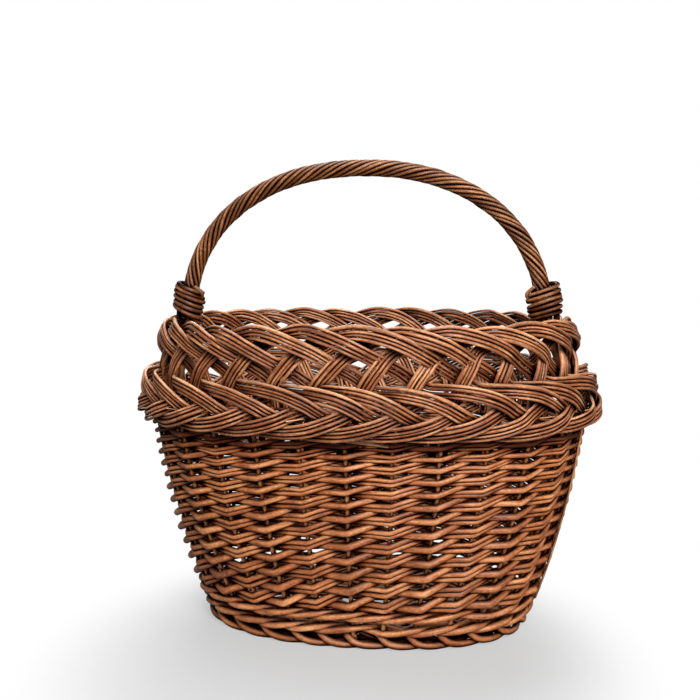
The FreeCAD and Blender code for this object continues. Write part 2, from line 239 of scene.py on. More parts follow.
class Rods:
    """Gathers rods, as tubes with cut ends, for one mesh."""

    def __init__(self):
        self.points, self.faces, self.grain = [], [], []
        self.tone, self.cut, self.shade = [], [], []
        self.count = 0

    def add(self, line, radius, tone=None, guide=ANY_GUIDE, shade=0.0, grooves=(0.0, 0.0)):
        """One rod along a line of points.

        Guide steers its section. Shade paints shade along its lengths, and below 0 it tints them fresh
        and lifts them. Contact shades paint shade where it touches a rod on the guide's side and on the far
        side.
        """
        line, radius, guide, shade = (np.asarray(v, float) for v in (line, radius, guide, shade))
        radius = np.broadcast_to(radius, len(line))
        shade = np.broadcast_to(shade, len(line))
        tone = rng.uniform() if tone is None else tone
        tangent = unit(np.gradient(line, axis=0))
        across = unit(guide - (tangent * guide).sum(-1, keepdims=True) * tangent)
        upward = np.cross(tangent, across)
        length = np.concatenate([[0], np.cumsum(np.linalg.norm(np.diff(line, axis=0), axis=1))])
        line = with_ends(line)
        line[0] -= END_REACH * radius[0] * tangent[0]
        line[-1] += END_REACH * radius[-1] * tangent[-1]
        radius = with_ends(radius)
        radius[[0, -1]] *= END_SHARE
        length = with_ends(length) + rng.uniform(0, GRAIN_SPREAD)

        turn = np.arange(SIDES) * 2 * math.pi / SIDES
        ring = (np.cos(turn)[None, :, None] * with_ends(across)[:, None]
                + np.sin(turn)[None, :, None] * with_ends(upward)[:, None])
        self.points.append((line[:, None] + radius[:, None, None] * ring).reshape(-1, 3))
        rows = len(line)
        quads, grain = skin_faces(rows, length)
        self.faces += (quads + self.count).tolist()
        self.grain.append(grain)
        around = np.arange(SIDES) + self.count
        self.faces += [around[::-1].tolist(), (around + (rows - 1) * SIDES).tolist()]
        for end in (0, -1):
            self.grain.append(np.tile([[length[end], 0.5]], (SIDES, 1)))
        cut = np.zeros(rows)
        cut[[0, -1]] = 1.0
        self.tone.append(np.full(rows * SIDES, tone))
        self.cut.append(np.repeat(cut, SIDES))
        # Painted shade: the rod's own shade, and painted contact shade on the sides where it touches other
        # rods.
        near, far = (np.maximum(way * np.cos(turn), 0.0) ** 2 for way in (1, -1))
        painted_dark = with_ends(shade)[:, None] + grooves[0] * near + grooves[1] * far
        self.shade.append(painted_dark.ravel())
        self.count += rows * SIDES

    def build(self, part, slot, name=None):
        """Makes the mesh object that stands for a part of the frame."""
        name = name or part + "_willow"
        mesh = bpy.data.meshes.new(name)
        mesh.from_pydata((np.vstack(self.points) * MM).tolist(), [], self.faces)
        layer = mesh.uv_layers.new(name="grain")
        layer.data.foreach_set("uv", (np.vstack(self.grain) * [MM, 1.0]).astype(np.float32).ravel())
        for key, values in (("tone", self.tone), ("cut", self.cut), ("shade", self.shade)):
            mark = mesh.attributes.new(key, "FLOAT", "POINT")
            mark.data.foreach_set("value", np.concatenate(values).astype(np.float32))
        mesh.polygons.foreach_set("use_smooth", [len(face) == 4 for face in self.faces])
        mesh.materials.append(WILLOW[slot])
        mesh.update()
        piece = add_object(name, mesh)
        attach(piece, "root")
        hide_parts(part)


# ---------------------------------------------------------------- materials

# Colours of stained willow by slot: dark, middle and light bark, and bark that is still fresh.
FRESH = (0.34, 0.088, 0.017)
BARKS = {
    "weaver_willow": ((0.11, 0.024, 0.009), (0.41, 0.134, 0.042), (0.76, 0.375, 0.165), FRESH),
    "stake_willow": ((0.09, 0.020, 0.007), (0.36, 0.112, 0.032), (0.60, 0.27, 0.10), (0.40, 0.15, 0.05)),
    "border_willow": ((0.07, 0.018, 0.007), (0.34, 0.122, 0.048), (0.80, 0.45, 0.24), FRESH),
    "handle_willow": ((0.048, 0.014, 0.005), (0.222, 0.085, 0.028), (0.58, 0.31, 0.13), FRESH),
    "base_willow": ((0.05, 0.014, 0.005), (0.24, 0.08, 0.026), (0.46, 0.2, 0.08), FRESH),
}
# Paler bark for faces that look up, partly wear and partly painted top light.
WORN_AND_TOP_LIT = (0.62, 0.42, 0.26, 1.0)
PITH = (0.36, 0.2, 0.1, 1.0)

# Patterns of the bark, as waves in a metre along the rod and waves round it.
STREAKS = (42.0, 4.0)
FIBRES = (330.0, 11.0)
BANDS = (9.0, 0.5)
SCARS = (22.0, 2.2)
SCAR_SIZE = 0.085
BLOTCH_SCALE = 55.0

# Shades above 0 paint shade, and shades below 0 mark fresh bark and lift its colour. Painted shade in a
# hollow goes from full to none over a range of openness.
FRESH_RATE = -3.6
PAINTED_SHADE_RATE = 0.8
HOLLOW_REACH = 0.014
HOLLOW_OPEN = (0.42, 0.88)
# Painted shade turns redder as it deepens: each channel takes the lit share to its own power.
SHADE_POWERS = (("Red", 1.25), ("Green", 1.75), ("Blue", 2.1))


def feed(tree, socket, value):
    """Gives a socket another socket's output or a plain value."""
    if hasattr(value, "is_linked"):
        tree.links.new(value, socket)
    else:
        socket.default_value = value


def node(tree, kind, **values):
    made = tree.nodes.new(kind)
    for key, value in values.items():
        if key in made.inputs:
            made.inputs[key].default_value = value
        else:
            setattr(made, key, value)
    return made


def maths(tree, operation, *values, clamp=False):
    made = node(tree, "ShaderNodeMath", operation=operation, use_clamp=clamp)
    for socket, value in zip(made.inputs, values):
        feed(tree, socket, value)
    return made.outputs[0]


def mixed(tree, share, first, second, blend="MIX"):
    made = node(tree, "ShaderNodeMix", data_type="RGBA", blend_type=blend)
    for key, value in (("Factor", share), ("A", first), ("B", second)):
        feed(tree, made.inputs[key], value)
    return made.outputs["Result"]


def ranged(tree, value, low, high, **values):
    """The share of the way that a value has gone from low to high."""
    made = node(tree, "ShaderNodeMapRange", **values)
    made.inputs["From Min"].default_value = low
    made.inputs["From Max"].default_value = high
    tree.links.new(value, made.inputs["Value"])
    return made.outputs["Result"]


def noise(tree, vector, scale, detail, rough=0.55):
    made = node(tree, "ShaderNodeTexNoise", Scale=scale, Detail=detail, Roughness=rough)
    tree.links.new(vector, made.inputs["Vector"])
    return made.outputs["Fac"]


def ramp(tree, value, stops):
    made = node(tree, "ShaderNodeValToRGB")
    elements = made.color_ramp.elements
    while len(elements) < len(stops):
        elements.new(0.5)
    for element, (position, colour) in zip(elements, stops):
        element.position = position
        element.color = (*colour, 1.0)
    tree.links.new(value, made.inputs["Fac"])
    return made.outputs["Color"]


def attribute(tree, name):
    return node(tree, "ShaderNodeAttribute", attribute_name=name).outputs["Fac"]


def new_material(name):
    material = bpy.data.materials.new(name)
    material.use_nodes = True
    return material, material.node_tree, material.node_tree.nodes["Principled BSDF"]


def bark(tree):
    """Streaks, fibres and leaf scars, and the lightness that they give with bands and blotches."""
    uv = node(tree, "ShaderNodeUVMap", uv_map="grain").outputs["UV"]

    def stretched(waves):
        mapping = node(tree, "ShaderNodeMapping", Scale=(*waves, 1.0))
        tree.links.new(uv, mapping.inputs["Vector"])
        return mapping.outputs["Vector"]

    streaks = noise(tree, stretched(STREAKS), 1.0, 4.0)
    fibres = noise(tree, stretched(FIBRES), 1.0, 3.0, 0.7)
    bands = noise(tree, stretched(BANDS), 1.0, 2.0)
    blotches = noise(tree, node(tree, "ShaderNodeTexCoord").outputs["Object"], BLOTCH_SCALE, 3.0)
    spots = node(tree, "ShaderNodeTexVoronoi", Scale=1.0)
    tree.links.new(stretched(SCARS), spots.inputs["Vector"])
    scar = maths(tree, "LESS_THAN", spots.outputs["Distance"], SCAR_SIZE)
    level = maths(tree, "MULTIPLY_ADD", attribute(tree, "tone"), 0.22, 0.39)
    for value, weight in ((streaks, 0.95), (fibres, 0.95), (bands, 0.8), (blotches, 0.6)):
        swing = maths(tree, "MULTIPLY", maths(tree, "SUBTRACT", value, 0.5), weight)
        level = maths(tree, "ADD", level, swing)
    return streaks, fibres, scar, level


def wear_and_top_light(tree):
    """How pale the bark is made where it faces up, partly as wear and partly as painted top light."""
    facing = node(tree, "ShaderNodeSeparateXYZ")
    tree.links.new(node(tree, "ShaderNodeNewGeometry").outputs["Normal"], facing.inputs[0])
    upward = maths(tree, "POWER", maths(tree, "MAXIMUM", facing.outputs["Z"], 0.0), 1.5)
    return maths(tree, "MULTIPLY", upward, 0.24)


def painted_lightness(tree, shade):
    """Painted shade: 1 on open bark, less in hollows and where shade is above 0, more where it is below 0.
    """
    hollow = node(tree, "ShaderNodeAmbientOcclusion", samples=6, Distance=HOLLOW_REACH)
    clear = ranged(tree, hollow.outputs["AO"], *HOLLOW_OPEN)
    painted_dark = maths(tree, "MULTIPLY", shade, PAINTED_SHADE_RATE)
    bright = maths(tree, "MAXIMUM", maths(tree, "SUBTRACT", 1.0, painted_dark), 0.05)
    return maths(tree, "MULTIPLY", clear, bright)


def shade_and_scars(tree, painted_lit_share, scar):
    """The share of each colour that painted shade and leaf scars leave, least of blue."""
    marks = maths(tree, "SUBTRACT", 1.0, maths(tree, "MULTIPLY", scar, 0.5))
    colour = node(tree, "ShaderNodeCombineColor")
    for channel, power in SHADE_POWERS:
        depth = maths(tree, "MULTIPLY", maths(tree, "POWER", painted_lit_share, power), marks)
        tree.links.new(depth, colour.inputs[channel])
    return colour.outputs["Color"]


def willow(name, dark, middle, light, fresh):
    """Stained willow: streaks along the rod, blotches, leaf scars, pale cut ends and painted shade in
    hollows;
    its upward faces are paler from wear and painted top light.
    """
    material, tree, shader = new_material(name)
    streaks, fibres, scar, level = bark(tree)
    shade = attribute(tree, "shade")
    painted_lit_share = painted_lightness(tree, shade)
    colour = ramp(tree, level, [(0.12, dark), (0.5, middle), (0.88, light)])
    colour = mixed(tree, maths(tree, "MULTIPLY", shade, FRESH_RATE, clamp=True), colour, (*fresh, 1.0))
    colour = mixed(tree, wear_and_top_light(tree), colour, WORN_AND_TOP_LIT)
    colour = mixed(tree, 1.0, colour, shade_and_scars(tree, painted_lit_share, scar), "MULTIPLY")
    colour = mixed(tree, maths(tree, "MULTIPLY", attribute(tree, "cut"), 0.8), colour, PITH)
    tree.links.new(colour, shader.inputs["Base Color"])
    tree.links.new(maths(tree, "MULTIPLY_ADD", fibres, 0.35, 0.27), shader.inputs["Roughness"])
    # Painted shade in hollows dims the specular as well.
    tree.links.new(maths(tree, "MULTIPLY", painted_lit_share, 0.4), shader.inputs["Specular IOR Level"])
    ridges = maths(tree, "ADD", maths(tree, "MULTIPLY", fibres, 0.5), maths(tree, "MULTIPLY", streaks, 0.6))
    ridges = maths(tree, "SUBTRACT", ridges, maths(tree, "MULTIPLY", scar, 0.4))
    bump = node(tree, "ShaderNodeBump", Strength=0.8, Distance=0.0007)
    tree.links.new(ridges, bump.inputs["Height"])
    tree.links.new(bump.outputs["Normal"], shader.inputs["Normal"])
    return material


WILLOW = {slot: willow(slot, *colours) for slot, colours in BARKS.items()}


# ---------------------------------------------------------------- wall

STAKE_FOOT = 4.0
# Below 0: the stakes' fresh colour, and painted light that lifts them against the painted shade of their
# hollows.
STAKE_SHADE = -0.5

# A weaver runs from just before its first stake to its tip, in places past that stake.
WEAVER_RUN = (-0.93, 24.85)
WEAVER_SAMPLES = 412
CLIMB_POWER = 2.2
KINK = 0.975
BRAID_SHADOW = 22.0

# A wale rod passes in front of two stakes and behind the third. Its height swings as it does.
WALE_STROKE = 3
WALE_END_GAP = 0.015
WALE_CLIMB = 2.4
WALE_WAVE = (-1.0, -0.3, 0.5, 1.0)
WALE_PROUD = (-1.0, -0.2, 0.9, 1.25)

# How a foot rod travels: (places past its stake, height over its lowest, proud).
FOOT_PATH = [
    (-0.14, 10.0, 1.0), (-0.04, 7.4, 2.8), (0.10, 4.0, 4.4), (0.34, 1.5, 5.0),
    (0.65, 0.4, 4.6), (1.00, 0.0, 2.6), (1.42, 0.0, -0.8), (1.85, 0.0, -4.5),
]
FOOT_WEAR = 0.4
FLOOR_GAP = 0.05


def level_drift(place):
    """How far the rows wander up and down round the basket, the same for neighbours."""
    turn = place * 2 * math.pi / STAKES
    return 1.1 * np.sin(3 * turn + 1.0) + 0.8 * np.sin(7 * turn + 2.4)


def stakes():
    rods = Rods()
    count = 70
    height = np.linspace(STAKE_FOOT, STAKE_TOP, count)
    thickness = STAKE_RADIUS * np.linspace(1.08, 0.96, count)
    for place in range(STAKES):
        lean = wander(count, 14, 0.012)
        proud = 0.6 + wander(count, 9, 0.3)
        rods.add(wall_points(place + lean, height, proud), thickness, shade=STAKE_SHADE)
    rods.build("side_stakes", "stake_willow")


def kinked(past):
    """1 outside the covered stake and -1 behind the next ones, bent at the stakes and straight between."""
    return np.arcsin(KINK * np.cos(math.pi * past)) / math.asin(KINK)


def round_level(number):
    """Height of a weave round where its rods pass outside a stake, and its pitch."""
    level = FIRST_ROUND + number * FIRST_PITCH - PITCH_FALL * number * (number - 1) / 2
    return level, FIRST_PITCH - PITCH_FALL * np.minimum(number, WEAVE_STEPS - 1)


def weaver(rods, first, share, shift):
    """One long rod that covers every second stake and climbs a round behind each one between."""
    past = np.linspace(*WEAVER_RUN, WEAVER_SAMPLES)
    place = first + past
    number = np.floor(past / 2)
    level, pitch = round_level(number)
    climb = 1.0 - (1.0 - past / 2 + number) ** CLIMB_POWER
    local = round_level(past / 2)[1]
    taper = np.linspace(1.03, 1.07, WEAVER_SAMPLES)
    thickness = share * local * (1.0 + wander(WEAVER_SAMPLES, 60, 0.05)) * taper
    height = level + pitch * climb + shift * local + level_drift(place) + wander(WEAVER_SAMPLES, 11, 0.3)
    proud = (STAKE_RADIUS + thickness) * kinked(past) + wander(WEAVER_SAMPLES, 13, 0.22)
    # Painted shadow under the braid and painted shade where the rod passes inside the stakes; its contact
    # shade is painted too.
    under_braid = np.clip((height - WEAVE_TOP + BRAID_SHADOW) / BRAID_SHADOW, 0.0, 0.7)
    inside = np.clip((-1.0 - proud) / 4.0, 0.0, 0.8)
    line = wall_points(place, height, proud)
    rods.add(line, thickness, guide=UP, shade=np.maximum(under_braid, inside), grooves=LYING)


def weave():
    """A thick rod starts at each even stake and a thin pair at each odd one."""
    for number, name in enumerate(names("weaver_set")):
        rods = Rods()
        weaver(rods, 2 * number, THICK_SHARE, 0.0)
        weaver(rods, 2 * number + 1, THIN_SHARE, -THIN_SHARE)
        weaver(rods, 2 * number + 1, THIN_SHARE, THIN_SHARE)
        rods.build(name, "weaver_willow")


def wale_rod(rods, first, level):
    strokes = (STAKES - 1) // WALE_STROKE
    count = 40 * strokes
    turn = WALE_STROKE * np.linspace(WALE_END_GAP, strokes - WALE_END_GAP, count)
    past = turn % WALE_STROKE
    place = first + turn
    outward = np.interp(-np.cos(2 * math.pi * past / WALE_STROKE), WALE_WAVE, WALE_PROUD)
    climb = WALE_CLIMB * np.sin(2 * math.pi * (past - WALE_STROKE / 2) / WALE_STROKE)
    height = level + climb + 0.7 * level_drift(place) + wander(count, 15, 0.25)
    thickness = WALE_RADIUS * (1 + wander(count, 60, 0.05))
    line = wall_points(place, height, (STAKE_RADIUS + WALE_RADIUS) * outward)
    # Painted contact shade on the wale rod's underside.
    rods.add(line, thickness, guide=UP, grooves=(0.0, 0.4 * CONTACT_SHADE_DEPTH))


def wales():
    for order, name in enumerate(("upsett_wale_lower", "upsett_wale_upper")):
        low, high = box_mm(name)
        rods = Rods()
        for number in range(WALE_STROKE):
            wale_rod(rods, WALE_STROKE * order + number, (low[2] + high[2]) / 2)
        rods.build(name, "weaver_willow")


def foot_border():
    rods = Rods()
    for place in range(STAKES):
        start = (rng.normal(0, 0.05), FOOT_ROD_RADIUS - FOOT_WEAR, 0.0)
        past, height, proud = smooth_run(np.array(FOOT_PATH) + start, 10).T
        thickness = FOOT_ROD_RADIUS * np.linspace(1.0, 0.85, len(past))
        line = wall_points(place + past, np.maximum(height, thickness + FLOOR_GAP), proud)
        rods.add(line, thickness, tone=rng.uniform(0.3, 0.9))
    rods.build("foot_border", "stake_willow")


# ---------------------------------------------------------------- border

# How one border group travels: (places past its stake, height, proud).
BORDER_PATH = [
    (0.00, 188.0, -6.5), (0.00, 197.0, -5.5), (0.03, 206.0, -2.5), (0.14, 220.0, -1.0),
    (0.30, 236.0, -1.0), (0.50, 251.5, 0.5), (0.75, 265.0, 1.0), (1.05, 278.0, -2.0),
    (1.40, 287.5, -4.5), (1.77, 294.0, -4.5), (2.20, 297.5, -1.0), (2.60, 295.0, 3.5),
    (3.00, 289.0, 5.5), (3.35, 281.5, 5.0), (3.63, 274.5, 1.0), (3.89, 268.0, -4.0),
    (4.20, 260.5, -5.5), (4.45, 253.0, -4.5), (4.67, 248.8, 1.0), (4.93, 248.6, 8.0),
    (5.31, 248.2, 14.0), (5.75, 244.5, 17.0), (6.13, 237.5, 17.0), (6.47, 228.5, 14.0),
    (6.79, 220.0, 10.5), (7.13, 214.6, 9.0), (7.50, 212.8, 11.0), (7.90, 213.6, 15.0),
    (8.30, 217.2, 18.5), (8.65, 222.2, 18.6), (8.98, 227.8, 13.6), (9.27, 233.0, 10.4),
    (9.55, 238.0, 8.0),
]
# Rows of the path from this one on wander. The ones before it stand beside the stake.
FIRST_FREE_ROW = 3
BORDER_GAP = -0.05

# The groups are steeper about one place: by places of shift, at (places past the stake, share).
STEEPEST_PLACE = 5
STEEPEST_SHIFT = 0.6
STEEP_REACH = 4.0
STEEP_SHARES = ((0.03, 0.0), (1.05, 1.0), (1.5, 1.0), (3.4, 0.0))

# The band leans inwards about the rim, and parts round the stake below the lattice.
LEAN = 0.45
LEAN_LEVEL = 300.0
LEAN_REACH = 14.0
PARTING_TOP = 225.0
PARTING_REACH = 20.0

SLIVER_CHANCE = 0.6

# Painted shade along a border group where it starts inside the weave and where it passes behind the stakes;
# below 0, a fresh tint and a small lift on its uprights: (places past its stake, shade).
BORDER_SHADES = (
    (0.0, 0.4), (0.1, -0.1), (0.6, -0.1), (1.1, 0.0), (3.5, 0.0), (3.9, 0.3), (4.4, 0.3), (4.7, 0.0),
)


def border_course(place):
    """The middle of one group's band, as rows of places past its stake, height and proud."""
    path = np.array(BORDER_PATH)
    steep = STEEPEST_SHIFT * math.exp(-(((place - STEEPEST_PLACE) / STEEP_REACH) ** 2))
    path[:, 0] -= steep * np.interp(path[:, 0], *zip(*STEEP_SHARES))
    path[FIRST_FREE_ROW:, 1] += rng.normal(0, 0.8)
    path[FIRST_FREE_ROW:, 0] += np.cumsum(rng.normal(0, 0.02, len(path) - FIRST_FREE_ROW))
    return smooth_run(path, 8)


def border_strand(rods, place):
    """One thick rod and three thin ones, side by side in a band."""
    run = border_course(place)
    past, height, proud = run.T
    step = np.gradient(run, axis=0)
    along, rise = step[:, 0] * STAKE_SPACING, step[:, 1]
    size = np.hypot(along, rise)

    def beside(side, outward):
        """Points to one side of the band's middle, square to its course along the wall."""
        there = place + past - side * rise / size / STAKE_SPACING
        return wall_points(there, height + side * along / size, outward)

    lean = LEAN * np.exp(-((height - LEAN_LEVEL) / LEAN_REACH) ** 2)
    apart = STAKE_RADIUS * np.clip((PARTING_TOP - height) / PARTING_REACH, 0, 1)
    parting = np.where(past < 1, apart, 0.0)
    radii = rng.permutation(BORDER_RADII) * rng.normal(1.0, 0.06, len(BORDER_RADII))
    spots = np.cumsum(2 * radii + BORDER_GAP + rng.uniform(0.0, 0.15, len(radii))) - radii
    spots -= (spots[0] + spots[-1]) / 2
    sway = wander(len(run), 30, 0.5)
    shade = np.interp(past, *zip(*BORDER_SHADES))
    sideways = beside(1.0, proud) - beside(0.0, proud)
    for number, (spot, thick) in enumerate(zip(spots, radii)):
        side = spot + np.sign(spot) * parting + sway + wander(len(run), 26, 0.25)
        end = len(run) - rng.integers(0, 4)
        line = beside(side, proud - lean * side + wander(len(run), 20, 0.3))
        thickness = thick * np.linspace(1.08, 0.86, end)
        # Painted contact shade on the sides where a rod touches its neighbours in the band.
        grooves = (CONTACT_SHADE_DEPTH * (number < len(radii) - 1), CONTACT_SHADE_DEPTH * (number > 0))
        rods.add(line[:end], thickness, guide=sideways[:end], shade=shade[:end], grooves=grooves)


def long_ends(rods):
    """Four rod ends tucked under the front of the braid."""
    share = np.linspace(0, 1, 40)
    for number in range(4):
        past = -1.3 + 0.2 * number + (1.9 - 0.1 * number) * share
        height = 213.0 - 1.6 * number - 6.5 * share ** 1.5
        rods.add(wall_points(past, height, 11.5 - number - 3.0 * share), 1.35 - 0.25 * share)


def sliver(rods, place):
    """A short loose sliver, under the braid or on its belly."""
    start = place + rng.uniform(0, 1)
    share = np.linspace(0, 1, 12)
    level, proud = ((211.0, 12.5), (225.0, 19.0))[rng.integers(0, 2)]
    height = level + rng.uniform(-1.0, 1.0) + rng.uniform(-3.0, 3.0) * share
    line = wall_points(start + rng.uniform(0.25, 0.4) * share, height, proud + share)
    rods.add(line, 0.75 - 0.4 * share, tone=1.0)


def border():
    for place, name in enumerate(names("border_strand")):
        rods = Rods()
        border_strand(rods, place)
        if place == 0:
            long_ends(rods)
        if rng.uniform() < SLIVER_CHANCE:
            sliver(rods, place)
        rods.build(name, "border_willow")


# ---------------------------------------------------------------- base

CROSS_STICKS = 9
LONG_STICKS = 5
LONG_STICK_SPACING = 6.0
CORE_HALF_LENGTH = 92.0
CORE_HALF_WIDTH = 13.4
CORE_END_GAP = 10.0
CORE_FAN = 1.1
BASE_RINGS = 13
BASE_RING_START = 0.6

# Two more rods close the base's edge. They are painted dark, as shade.
EDGE_LEVELS = (5.0, 15.2)
EDGE_INSET = 6.5
EDGE_END_GAP = 0.1


def base_stick_end(place):
    return wall_points(place, FOOT_LEVEL, -STAKE_RADIUS)


def base_cross_sticks():
    rods = Rods()
    half = CROSS_STICKS // 2
    count = 40
    share = np.linspace(0, 1, count)[:, None]
    for place in range(-half, half + 1):
        front, back = base_stick_end(place), base_stick_end(2 * QUARTER - place)
        line = front + (back - front) * share
        line[:, 0] += wander(count, 10, 0.3)
        rods.add(line, BASE_STICK_RADIUS)
    rods.build("base_cross_sticks", "base_willow")


def base_long_sticks():
    rods = Rods()
    half = LONG_STICKS // 2
    top = FOOT_LEVEL + 2 * BASE_STICK_RADIUS
    for number in range(-half, half + 1):
        across = number * LONG_STICK_SPACING
        middle = [(x, across, top) for x in (-CORE_HALF_LENGTH, 0.0, CORE_HALF_LENGTH)]
        ends = base_stick_end(3 * QUARTER - number), base_stick_end(QUARTER + number)
        rods.add(smooth_run([ends[0], *middle, ends[1]], 16), BASE_STICK_RADIUS)
    rods.build("base_long_sticks", "base_willow")


def base_station(place):
    """Where the base's rounds cross the stick at a place: at its core and at its end."""
    outer = base_stick_end(place)
    near = (place + QUARTER) % (2 * QUARTER) - QUARTER
    if abs(near) <= CROSS_STICKS // 2:
        return (outer[0], math.copysign(CORE_HALF_WIDTH, outer[1]), FOOT_LEVEL), outer
    side = math.copysign(1.0, outer[0])
    number = place - QUARTER if side > 0 else 3 * QUARTER - place
    reach = CORE_HALF_LENGTH + CORE_END_GAP - abs(number)
    return (side * reach, number * LONG_STICK_SPACING * CORE_FAN, FOOT_LEVEL), outer


def base_weave():
    rods = Rods()
    inner, outer = (np.array(side) for side in zip(*map(base_station, range(STAKES))))
    for number in range(BASE_RINGS):
        share = (number + BASE_RING_START) / BASE_RINGS
        corners = inner + (outer - inner) * share
        first = (4 * number) % STAKES
        order = (np.arange(STAKES + 1) + first) % STAKES
        run = smooth_run(corners[order], 10)[1:-1]
        place = first + np.linspace(0, STAKES, len(run) + 2)[1:-1]
        run[:, 2] = FOOT_LEVEL + (BASE_STICK_RADIUS + BASE_ROD_RADIUS) * kinked(place + number)
        rods.add(run, BASE_ROD_RADIUS * (1 + wander(len(run), 40, 0.06)))
    place = np.linspace(EDGE_END_GAP, STAKES - EDGE_END_GAP, 30 * STAKES)
    # Painted shade on the edge rods.
    for level in EDGE_LEVELS:
        edge = wall_points(place, level + wander(len(place), 20, 0.15), -EDGE_INSET)
        rods.add(edge, 1.25 * BASE_ROD_RADIUS, shade=0.8)
    rods.build("base_weave", "base_willow")


# ---------------------------------------------------------------- handle

HANDLE_SQUARENESS = 2.17
HANDLE_SAMPLES = 1201
HANDLE_HALF_SPAN = 179.5
HANDLE_SHIFT = -5.0
HANDLE_FOOT = 300.0
HANDLE_TOP = ROPE_BOX[1][2] - BOW_RADIUS - 2 * ROPE_ROD_RADIUS
ROPE_RODS = 10
ROPE_TURNS = 5.2

# The bow's ends and the pegs beside them run down inside the wall.
TAIL_LEVELS = (150.0, 180.0, 212.0, 245.0)
TAIL_INSET = STAKE_RADIUS + BOW_RADIUS + 4.0
TAIL_TOP = 282.0
TAIL_TOP_SPAN = 185.0
PEG_LEVELS = (160.0, 190.0, 225.0, 260.0, 286.0)
PEG_INSET = STAKE_RADIUS + BOW_RADIUS + 2.0
PEG_SHIFT = 0.22

# A thin rod lies over the right of the wall: (height, proud). It leans a little as it rises.
SPLINT_PATH = ((212.0, 8.5), (180.0, 8.2), (130.0, 8.6), (80.0, 9.4), (34.0, 9.6))
SPLINT_PLACE = QUARTER - 1.0
SPLINT_LEAN = 0.002

# By part: side, turns, radius, slack along the basket, tilt, lowest and highest coil, unevenness.
# Unevenness also deepens the painted shade of the coils.
BINDINGS = {
    "handle_binding_right": (1, 7, 2.0, 3.4, 0.30, 303.5, 333.0, 1.6),
    "handle_binding_left": (-1, 6, 2.2, 1.6, 0.38, 304.5, 333.5, 1.0),
}
ROPE_REACH = BOW_RADIUS + 2 * ROPE_ROD_RADIUS
COIL_SWELL = 1.4
COIL_DEPTH = 1.2
LOOP_LEVEL = 334.0


def handle_line(count):
    """Evenly spaced points on the handle's middle line, from the +X foot to the -X foot."""
    angle = np.linspace(0, math.pi, HANDLE_SAMPLES)
    power = 2.0 / HANDLE_SQUARENESS
    x = HANDLE_HALF_SPAN * np.sign(np.cos(angle)) * np.abs(np.cos(angle)) ** power
    z = HANDLE_FOOT + (HANDLE_TOP - HANDLE_FOOT) * np.abs(np.sin(angle)) ** power
    length = lengths_along(x, z)
    at = np.linspace(0, length[-1], count)
    x, z = HANDLE_SHIFT + np.interp(at, length, x), np.interp(at, length, z)
    return np.stack([x, np.zeros(count), z], -1)


def bow_tail(side):
    place = QUARTER if side > 0 else 3 * QUARTER
    tail = [wall_points(place, level, -TAIL_INSET) for level in TAIL_LEVELS]
    return tail + [np.array([side * TAIL_TOP_SPAN + 0.7 * HANDLE_SHIFT, 0.0, TAIL_TOP])]


def handle_bow():
    rods = Rods()
    points = bow_tail(1) + list(handle_line(21)) + bow_tail(-1)[::-1]
    rods.add(smooth_run(points, 8), BOW_RADIUS, guide=(0, 1, 0))
    rods.build("handle_bow", "handle_willow")


def handle_rope():
    rods = Rods()
    middle = handle_line(260)
    count = len(middle)
    across = np.array([0.0, 1.0, 0.0])
    upward = np.cross(unit(np.gradient(middle, axis=0)), across)
    share = np.linspace(0, 1, count)
    for number in range(ROPE_RODS):
        turn = 2 * math.pi * (number / ROPE_RODS - ROPE_TURNS * share) + wander(count, 60, 0.05)
        reach = BOW_RADIUS + ROPE_ROD_RADIUS + wander(count, 30, 0.12)
        cosine, sine = np.cos(turn)[:, None], np.sin(turn)[:, None]
        line = middle + reach[:, None] * (across * cosine + upward * sine)
        thickness = ROPE_ROD_RADIUS * rng.normal(1.0, 0.05)
        # Painted contact shade on both sides, where the rope's rods touch.
        rods.add(line, thickness, guide=upward * cosine - across * sine, grooves=(CONTACT_SHADE_DEPTH, CONTACT_SHADE_DEPTH))
    rods.build("handle_rope_rods", "handle_willow", "handle_rope_willow")


def binding(rods, side, turns, radius, slack, tilt, low, high, uneven):
    """A rod in tilted, crowded coils, two short rods inside them and a loop of its end, all with painted
    shade.
    """
    count = 60 * turns
    share = np.linspace(0, 1, count)
    turn = math.pi / 2 + 2 * math.pi * turns * share
    reach = ROPE_REACH + radius
    swell = COIL_SWELL * np.sin(math.pi * share)
    wide = reach + slack + swell + wander(count, 35, 0.5)
    deep = reach + COIL_DEPTH + swell + wander(count, 35, 0.5)
    height = low + (high - low) * share + tilt * wide * np.cos(turn) + wander(count, 25, uneven)
    middle = side * (HANDLE_HALF_SPAN + 2.0 - 4.0 * share) + HANDLE_SHIFT
    coils = np.stack([middle + side * wide * np.cos(turn), deep * np.sin(turn), height], -1)
    thickness = radius * (1.1 + wander(count, 40, 0.06))
    # Painted shade on the coils, deeper on a more uneven binding, and painted contact shade on both sides.
    shade = np.clip(0.3 * uneven - 0.1 + wander(count, 22, 0.3), 0.0, 0.8)
    rods.add(coils, thickness, guide=UP, shade=shade, grooves=(CONTACT_SHADE_DEPTH, CONTACT_SHADE_DEPTH))
    # The two short rods inside the coils are painted dark, as shade.
    for beside in (-1, 1):
        x = middle[0] + beside * (ROPE_REACH + 0.45 * slack + 0.4)
        filler = [(x, 0.0, 302.0), (x - side, 0.0, 318.0), (x - 2 * side, 0.0, high - 3.0)]
        rods.add(smooth_run(filler, 5), 1.9 + 0.4 * slack, shade=0.9)
    # The loop carries a little painted shade.
    loop = np.linspace(-0.15, 1.15, 40)
    x = middle[-1] - side * (reach + slack - 3.0 + 4.5 * np.sin(math.pi * loop))
    height = LOOP_LEVEL - tilt * reach - 12.0 * loop
    rods.add(np.stack([x, -7.5 + 4.0 * loop, height], -1), 0.95 * radius, guide=UP, shade=0.2)


def bindings():
    for name, values in BINDINGS.items():
        rods = Rods()
        binding(rods, *values)
        rods.build(name, "handle_willow")


